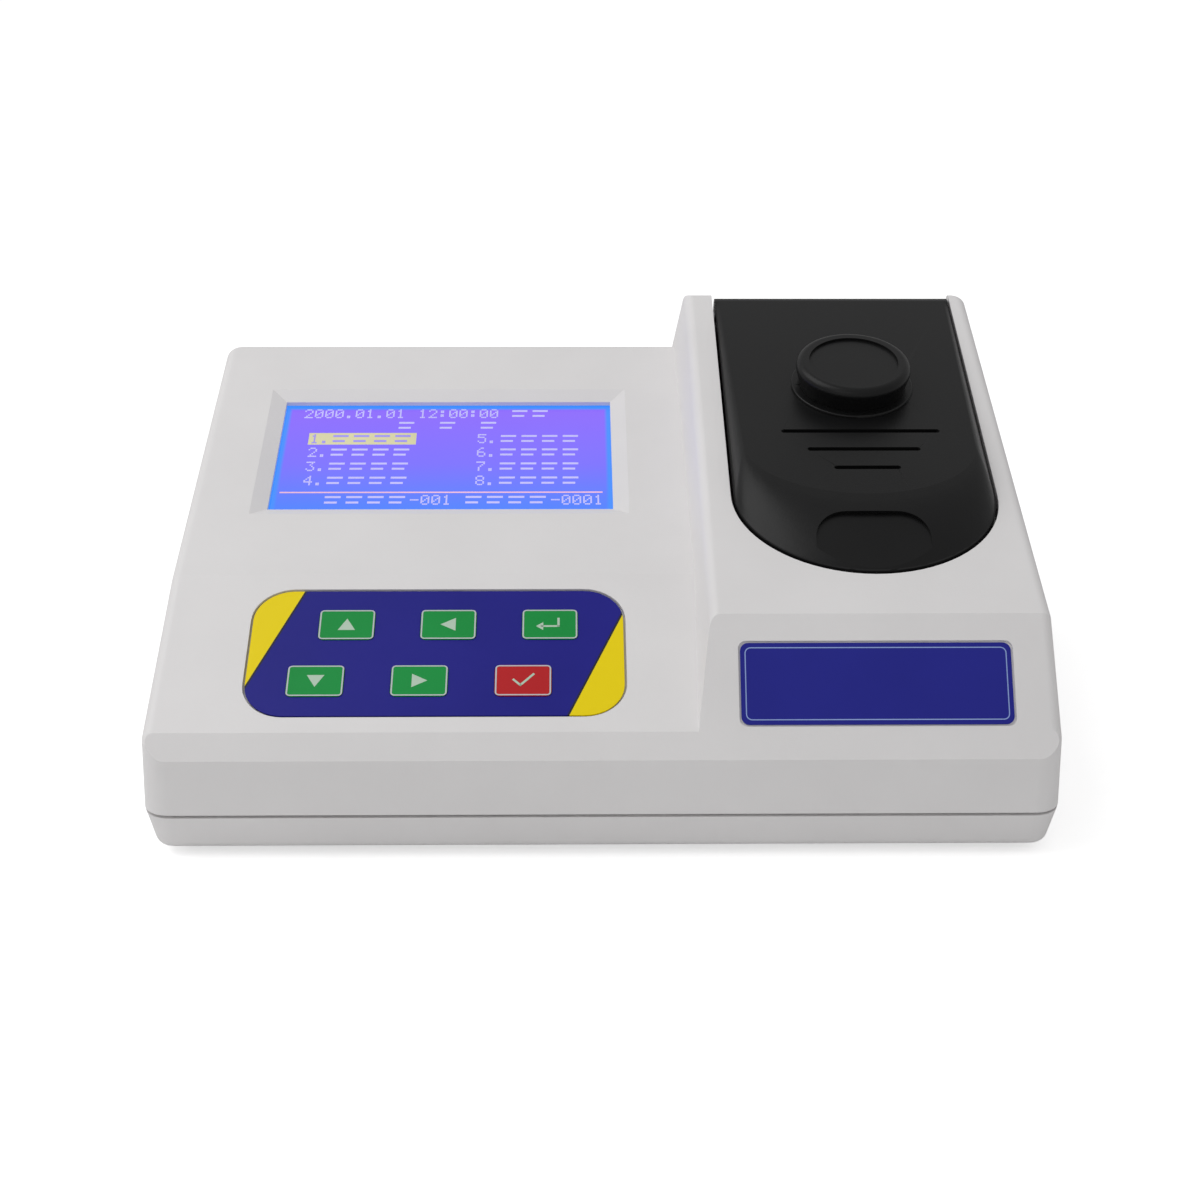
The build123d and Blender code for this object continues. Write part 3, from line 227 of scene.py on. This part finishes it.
def flat_shapes(name, outlines, frame_at, material, body, thickness=0.00002):
    """Thin printed shapes on a slope, each outline a list of places across and up, in millimetres."""
    drawn = bmesh.new()
    for outline in outlines:
        drawn.faces.new([drawn.verts.new((x / 1000, y / 1000, 0)) for x, y in outline])
    raised = bmesh.ops.extrude_face_region(drawn, geom=list(drawn.faces))
    bmesh.ops.translate(
        drawn, vec=(0, 0, thickness), verts=[v for v in raised["geom"] if isinstance(v, bmesh.types.BMVert)]
    )
    bmesh.ops.recalc_face_normals(drawn, faces=drawn.faces)
    mesh = bpy.data.meshes.new(name)
    drawn.to_mesh(mesh)
    drawn.free()
    piece = bpy.data.objects.new(name, mesh)
    bpy.context.scene.collection.objects.link(piece)
    piece.matrix_world = frame_at
    mesh.materials.append(material)
    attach(piece, body)
    return piece


def block(x, y, width, height):
    return [(x, y), (x + width, y), (x + width, y + height), (x, y + height)]


dot_rows = {
    "0": (14, 17, 19, 21, 25, 17, 14), "1": (4, 12, 4, 4, 4, 4, 14), "2": (14, 17, 1, 2, 4, 8, 31),
    "3": (31, 2, 4, 2, 1, 17, 14), "4": (2, 6, 10, 18, 31, 2, 2), "5": (31, 16, 30, 1, 1, 17, 14),
    "6": (6, 8, 16, 30, 17, 17, 14), "7": (31, 1, 2, 4, 8, 8, 8), "8": (14, 17, 17, 14, 17, 17, 14),
    ".": (0, 0, 0, 0, 0, 12, 12), ":": (0, 12, 12, 0, 12, 12, 0), "-": (0, 0, 0, 31, 0, 0, 0),
}
dot_width, dot_height, digit_pitch = 0.58, 0.78, 3.5
dot_share = 0.92
bar_width, bar_height, bar_pitch = 5.2, 1.1, 7.0


def digits(text, x, y):
    dots = []
    for place, sign in enumerate(text):
        for row, bits in enumerate(dot_rows.get(sign, (0,) * 7)):
            for column in range(5):
                if bits & (16 >> column):
                    left = x + place * digit_pitch + column * dot_width
                    low = y + (2.5 - row) * dot_height
                    dots.append(block(left, low, dot_width * dot_share, dot_height * dot_share))
    return dots


def bars(count, x, y, pitch=bar_pitch):
    drawn = []
    for place in range(count):
        left = x + place * pitch
        drawn.append(block(left, y + 1.0, bar_width, bar_height))
        drawn.append(block(left, y - 2.0, bar_width * 0.8, bar_height))
    return drawn


clock_row, title_row, last_row = 27.0, 19.8, -23.4
item_rows = (11.8, 3.8, -4.4, -12.5)
dots = digits("2000.01.01", -49.3, clock_row) + digits("12:00:00", -10.2, clock_row)
dots += bars(2, 22.0, clock_row)
dots += bars(3, -16.6, title_row, 14.0)
for row, y in enumerate(item_rows):
    if row:
        dots += digits(f"{row + 1}.", -46.0, y) + bars(4, -38.4, y)
    dots += digits(f"{row + 5}.", 10.6, y) + bars(4, 18.4, y)
dots += bars(4, -38.2, last_row) + digits("-001", -10.4, last_row)
dots += bars(4, 7.7, last_row) + digits("-0001", 35.6, last_row)


def glowing(name, pale, dark, strength):
    material = grained(name, pale, dark, 0.001, 0.4, 0.02)
    shade = next(n for n in material.node_tree.nodes if n.type == "VALTORGB")
    shader = material.node_tree.nodes["Principled BSDF"]
    material.node_tree.links.new(shade.outputs["Color"], shader.inputs["Emission Color"])
    shader.inputs["Emission Strength"].default_value = strength
    return material


lit_dots = glowing("lit_dots", (0.44, 0.42, 0.74), (0.4, 0.38, 0.7), 0.5)
flat_shapes("display_dots", dots, glass_frame, lit_dots, "housing")
marked_bar = glowing("marked_bar", (0.52, 0.5, 0.3), (0.47, 0.45, 0.27), 0.5)
marked_row = [block(-46.6, item_rows[0] - 3.5, 36.4, 6.9)]
flat_shapes("display_marked_row", marked_row, glass_frame, marked_bar, "housing")
dark_dots = glowing("dark_dots", (0.28, 0.24, 0.75), (0.25, 0.2, 0.7), 0.4)
text_lift = 0.00003
above_bar = glass_frame @ Matrix.Translation((0, 0, text_lift))
marked_dots = digits("1.", -46.0, item_rows[0]) + bars(4, -38.4, item_rows[0])
flat_shapes("display_marked_text", marked_dots, above_bar, dark_dots, "housing")
rule_line = glowing("rule_line", (0.72, 0.42, 0.52), (0.66, 0.38, 0.48), 0.5)
flat_shapes("display_rule", [block(-53.2, -19.6, 105.7, 0.7)], glass_frame, rule_line, "housing")

# Keypad film.
# Polyester film printed from behind: a navy field with two yellow corners.
# It lies in a shallow recess, and a dark line parts the two colours.
key_tilt = radians(24.2)
overlay_middle = (-49.3, 31.2)
left_line, right_line = (-104.8, 17.9, 0.3846), (-10.1, 6.5, 0.408)
line_half = 0.00035
film_frame = front_frame("keypad_overlay", key_tilt)
printed_film = grained(
    "printed_film", (0.013, 0.012, 0.25), (0.010, 0.010, 0.225), 0.0004, 0.4, 0.2, Specular_IOR_Level=0.18
)
nodes, links = printed_film.node_tree.nodes, printed_film.node_tree.links
across, up = slope_places(nodes, links, film_frame.translation, key_tilt)


def line_gap(line):
    """How far each point lies to the right of a slanting line."""
    x, y, slant = line
    start = (x - overlay_middle[0] - slant * (y - overlay_middle[1])) / 1000
    return sums(nodes, links, "SUBTRACT", sums(nodes, links, "SUBTRACT", across, start),
                sums(nodes, links, "MULTIPLY", up, slant))


def paint(colour, share):
    """Lays a colour over what the film shows so far, where the share is 1."""
    base = nodes["Principled BSDF"].inputs["Base Color"]
    under = base.links[0].from_socket
    mix = nodes.new("ShaderNodeMix")
    mix.data_type = "RGBA"
    mix.inputs[7].default_value = (*colour, 1)
    links.new(share, mix.inputs[0])
    links.new(under, mix.inputs[6])
    links.new(mix.outputs[2], base)


left_gap, right_gap = line_gap(left_line), line_gap(right_line)
yellow = (0.9, 0.7, 0.001)
paint(yellow, sums(nodes, links, "LESS_THAN", left_gap, 0))
paint(yellow, sums(nodes, links, "GREATER_THAN", right_gap, 0))
for found in (left_gap, right_gap):
    near = sums(nodes, links, "LESS_THAN", sums(nodes, links, "ABSOLUTE", found, 0), line_half)
    paint((0.02, 0.02, 0.04), near)
cover_with(printed_film, "keypad_overlay")

# Six keys.
# Raised film keys, each over its own dome: five green and one red.
# Each has a pale rim line and a pale sign, and the print moves with the key.
key_half = (8.35, 5.95)
rim_line, rim_inset = 0.45, 0.1
row_places = {
    "key_down": (-84.6, 19.7), "key_right": (-54.0, 19.7), "key_confirm": (-23.4, 19.7),
    "key_up": (-76.8, 42.0), "key_left": (-46.2, 42.0), "key_back": (-15.6, 42.0),
}
green_film = grained(
    "green_film", (0.006, 0.3, 0.055), (0.005, 0.27, 0.048), 0.0004, 0.4, 0.2, Specular_IOR_Level=0.18
)
red_film = grained(
    "red_film", (0.53, 0.004, 0.008), (0.48, 0.003, 0.007), 0.0004, 0.4, 0.2, Specular_IOR_Level=0.3
)
pale_print = grained("pale_print", (0.5, 0.66, 0.52), (0.46, 0.61, 0.48), 0.0004, 0.5, 0.1)
rim_print = grained("rim_print", (0.55, 0.58, 0.6), (0.5, 0.53, 0.55), 0.0004, 0.5, 0.1)
cover_with(green_film, "key_down", "key_right", "key_up", "key_left", "key_back")
cover_with(red_film, "key_confirm")


def rounded(half_x, half_y, radius, steps=6):
    corners = []
    for turn, (sx, sy) in enumerate(((1, 1), (-1, 1), (-1, -1), (1, -1))):
        for step in range(steps + 1):
            angle = pi / 2 * (turn + step / steps)
            corners.append((
                sx * (half_x - radius) + radius * cos(angle), sy * (half_y - radius) + radius * sin(angle)
            ))
    return corners


def ring(half_x, half_y, radius, line):
    outer = rounded(half_x, half_y, radius)
    inner = rounded(half_x - line, half_y - line, max(radius - line, 0.1))
    count = len(outer)
    return [[outer[i], outer[(i + 1) % count], inner[(i + 1) % count], inner[i]] for i in range(count)]


def stroke(points, width):
    """A bent line of even width, one outline for each run."""
    runs = []
    for (x0, y0), (x1, y1) in zip(points, points[1:]):
        along = Vector((x1 - x0, y1 - y0)).normalized()
        side = Vector((-along.y, along.x)) * width / 2
        tip = along * width / 2
        runs.append([
            (x0 - tip.x - side.x, y0 - tip.y - side.y), (x1 + tip.x - side.x, y1 + tip.y - side.y),
            (x1 + tip.x + side.x, y1 + tip.y + side.y), (x0 - tip.x + side.x, y0 - tip.y + side.y),
        ])
    return runs


sign_line, rim_corner = 0.7, 1.2
arrow = [(-2.6, -2.2), (2.6, -2.2), (0, 2.4)]
return_head = [(-4.2, -0.8), (-2.0, -2.4), (-2.0, 0.8)]
key_signs = {
    "key_up": [arrow],
    "key_down": [[(-x, -y) for x, y in arrow]],
    "key_left": [[(-y, x) for x, y in arrow]],
    "key_right": [[(y, -x) for x, y in arrow]],
    "key_back": stroke([(2.6, 2.2), (2.6, -0.8), (-2.4, -0.8)], sign_line) + [return_head],
    "key_confirm": stroke([(-2.8, 0.2), (-0.8, -1.9), (3.0, 2.3)], sign_line),
}
for key, (x, y) in row_places.items():
    slope_normal = Vector((0, -sin(key_tilt), cos(key_tilt)))
    top = max(corner.co.dot(slope_normal) for corner in parts[key].data.vertices)
    offset = Vector(((x - overlay_middle[0]) / 1000, (y - overlay_middle[1]) / 1000, 0))
    key_frame = film_frame @ Matrix.Translation(offset)
    lift = top - key_frame.translation.dot(slope_normal)
    key_frame = key_frame @ Matrix.Translation((0, 0, lift))
    half_x, half_y = key_half[0] - rim_inset, key_half[1] - rim_inset
    flat_shapes(f"{key}_rim", ring(half_x, half_y, rim_corner, rim_line), key_frame, rim_print, key)
    flat_shapes(f"{key}_sign", key_signs[key], key_frame, pale_print, key)

# Name plate.
# A thin blue polyester plate in a recess of the front slope, kept bare.
# A fine pale line runs inside its edge.
plate_tilt = radians(51.7)
plate_half = (39.65, 12.2)
border_inset, border_corner, border_line = 1.3, 1.8, 0.3
plate_film = grained(
    "plate_film", (0.011, 0.014, 0.28), (0.009, 0.012, 0.255), 0.0004, 0.38, 0.15, Specular_IOR_Level=0.3
)
cover_with(plate_film, "name_plate")
plate_frame = front_frame("name_plate", plate_tilt)
plate_line = grained("plate_line", (0.3, 0.42, 0.75), (0.27, 0.38, 0.7), 0.0004, 0.4, 0.1)
border = ring(plate_half[0] - border_inset, plate_half[1] - border_inset, border_corner, border_line)
flat_shapes("plate_border", border, plate_frame, plate_line, "housing")

# Lid, its inner panel and the plug.
# Satin black ABS mouldings with a fine grain: the lid swings on two pins.
# The round plug in its middle lifts out, to pass a tall vial.
lid_plastic = grained(
    "lid_plastic", (0.0065, 0.0066, 0.0068), (0.005, 0.005, 0.0053), 0.00045, 0.34, 0.3,
    Specular_IOR_Level=0.22,
)
cover_with(lid_plastic, "lid_shell", "light_plug", "lid_liner")

# Finger scoop.
# A shallow hollow moulded in the lid's front slope, with a crisp upper edge.
# Its floor runs out to nothing at the lid's front rim.
scoop_half, scoop_corner, scoop_depth = 0.0175, 0.0095, 0.0015
scoop_top_y, scoop_low_y = -0.0345, -0.0525
scoop_arc_steps, cutter_height = 12, 0.02
lid_mesh = bmesh.new()
lid_mesh.from_mesh(parts["lid_shell"].data)
lid_tree = BVHTree.FromBMesh(lid_mesh)
lid_mesh.free()
scoop_x = (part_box("lid_shell")[0].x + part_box("lid_shell")[1].x) / 2


def lid_surface(y):
    return lid_tree.ray_cast(Vector((scoop_x, y, 0.3)), Vector((0, 0, -1)))[0]


scoop_top, scoop_low = lid_surface(scoop_top_y), lid_surface(scoop_low_y)
slope_way = (scoop_top - scoop_low).normalized()
slope_out = Vector((1, 0, 0)).cross(slope_way)
floor_top = scoop_top - slope_out * scoop_depth
floor_way = (floor_top - scoop_low).normalized()
floor_out = Vector((1, 0, 0)).cross(floor_way)
reach = (floor_top - scoop_low).length
outline = [(-scoop_half, -reach), (scoop_half, -reach)]
for start, side in ((0, 1), (pi / 2, -1)):
    for step in range(scoop_arc_steps + 1):
        angle = start + pi / 2 * step / scoop_arc_steps
        centre_x = side * (scoop_half - scoop_corner)
        outline.append((centre_x + scoop_corner * cos(angle), reach + scoop_corner * (sin(angle) - 1)))
cutter_mesh = bmesh.new()
levels = []
for height in (0, cutter_height):
    levels.append([
        cutter_mesh.verts.new(scoop_low + Vector((x, 0, 0)) + floor_way * y + floor_out * height)
        for x, y in outline
    ])
cutter_mesh.faces.new(levels[0])
cutter_mesh.faces.new(levels[1])
for i in range(len(outline)):
    j = (i + 1) % len(outline)
    cutter_mesh.faces.new((levels[0][i], levels[0][j], levels[1][j], levels[1][i]))
bmesh.ops.recalc_face_normals(cutter_mesh, faces=cutter_mesh.faces)
cutter_data = bpy.data.meshes.new("scoop_cutter")
cutter_mesh.to_mesh(cutter_data)
cutter_mesh.free()
cutter = bpy.data.objects.new("scoop_cutter", cutter_data)
bpy.context.scene.collection.objects.link(cutter)
cutter.hide_render = True
cutter.display_type = "WIRE"
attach(cutter, "lid")
weld = parts["lid_shell"].modifiers.new("weld", "WELD")
weld.merge_threshold = 0.000002
scoop = parts["lid_shell"].modifiers.new("scoop", "BOOLEAN")
scoop.operation = "DIFFERENCE"
scoop.solver = "EXACT"
scoop.object = cutter
evened = parts["lid_shell"].modifiers.new("evened", "WEIGHTED_NORMAL")
evened.mode = "FACE_AREA"
evened.keep_sharp = True

# Floor, light and camera.
# A plain white table and surround, one wide lamp above and a weaker one in front.
# The camera stands where the fit to the photograph puts it.
floor_half = 6
plane = bmesh.new()
floor_corners = [(-1, -1), (1, -1), (1, 1), (-1, 1)]
plane.faces.new([plane.verts.new((x * floor_half, y * floor_half, 0)) for x, y in floor_corners])
floor_mesh = bpy.data.meshes.new("floor")
plane.to_mesh(floor_mesh)
plane.free()
floor = bpy.data.objects.new("floor", floor_mesh)
bpy.context.scene.collection.objects.link(floor)
floor_paint = grained("floor_paint", (0.86, 0.86, 0.86), (0.85, 0.85, 0.85), 0.002, 0.9, 0.02)
nodes, links = floor_paint.node_tree.nodes, floor_paint.node_tree.links
seen = nodes.new("ShaderNodeLightPath").outputs["Is Camera Ray"]
glow = nodes.new("ShaderNodeEmission")
glow.inputs["Strength"].default_value = 0.56
clear = nodes.new("ShaderNodeEmission")
clear.inputs["Strength"].default_value = 0.0
camera_glow = nodes.new("ShaderNodeMixShader")
links.new(seen, camera_glow.inputs[0])
links.new(clear.outputs[0], camera_glow.inputs[1])
links.new(glow.outputs[0], camera_glow.inputs[2])
both = nodes.new("ShaderNodeAddShader")
links.new(nodes["Principled BSDF"].outputs[0], both.inputs[0])
links.new(camera_glow.outputs[0], both.inputs[1])
links.new(both.outputs[0], nodes["Material Output"].inputs["Surface"])
floor_mesh.materials.append(floor_paint)

world = bpy.data.worlds.new("surround")
bpy.context.scene.world = world
world.use_nodes = True
nodes, links = world.node_tree.nodes, world.node_tree.links
path = nodes.new("ShaderNodeLightPath")
shown = sums(nodes, links, "MAXIMUM", path.outputs["Is Camera Ray"], path.outputs["Is Transmission Ray"])
strength = nodes.new("ShaderNodeMapRange")
strength.inputs["To Min"].default_value = 0.5
strength.inputs["To Max"].default_value = 1.0
links.new(shown, strength.inputs["Value"])
links.new(strength.outputs["Result"], nodes["Background"].inputs["Strength"])
nodes["Background"].inputs["Color"].default_value = (1, 1, 1, 1)


def soft_lamp(name, place, aim, size, power):
    lamp = bpy.data.lights.new(name, "AREA")
    lamp.size = size
    lamp.energy = power
    holder = bpy.data.objects.new(name, lamp)
    holder.location = place
    holder.rotation_mode = "QUATERNION"
    holder.rotation_quaternion = (Vector(aim) - Vector(place)).to_track_quat("-Z", "Y")
    bpy.context.scene.collection.objects.link(holder)


soft_lamp("lamp_above", (-0.8, 0.05, 1.2), (0, 0, 0.05), 1.2, 8.5)
soft_lamp("lamp_front", (-0.5, -1.3, 0.9), (0, 0, 0.05), 0.9, 1.3)

camera_yaw, camera_pitch, camera_roll = 0.0165, 0.3989, 0.0043
ahead = Vector((sin(camera_yaw) * cos(camera_pitch), cos(camera_yaw) * cos(camera_pitch), -sin(camera_pitch)))
right = Vector((cos(camera_yaw), -sin(camera_yaw), 0))
above = right.cross(ahead)
turned_right = cos(camera_roll) * right + sin(camera_roll) * above
turned_up = -sin(camera_roll) * right + cos(camera_roll) * above
camera = bpy.data.objects.new("camera", bpy.data.cameras.new("camera"))
bpy.context.scene.collection.objects.link(camera)
camera.data.sensor_width = 36
camera.data.lens = 63.39
camera.data.clip_start = 0.01
turn = Matrix((turned_right, turned_up, -ahead)).transposed().to_4x4()
camera.matrix_world = Matrix.Translation((-0.01016, -0.63913, 0.31084)) @ turn
bpy.context.scene.camera = camera
bpy.context.scene.view_settings.view_transform = "Standard"
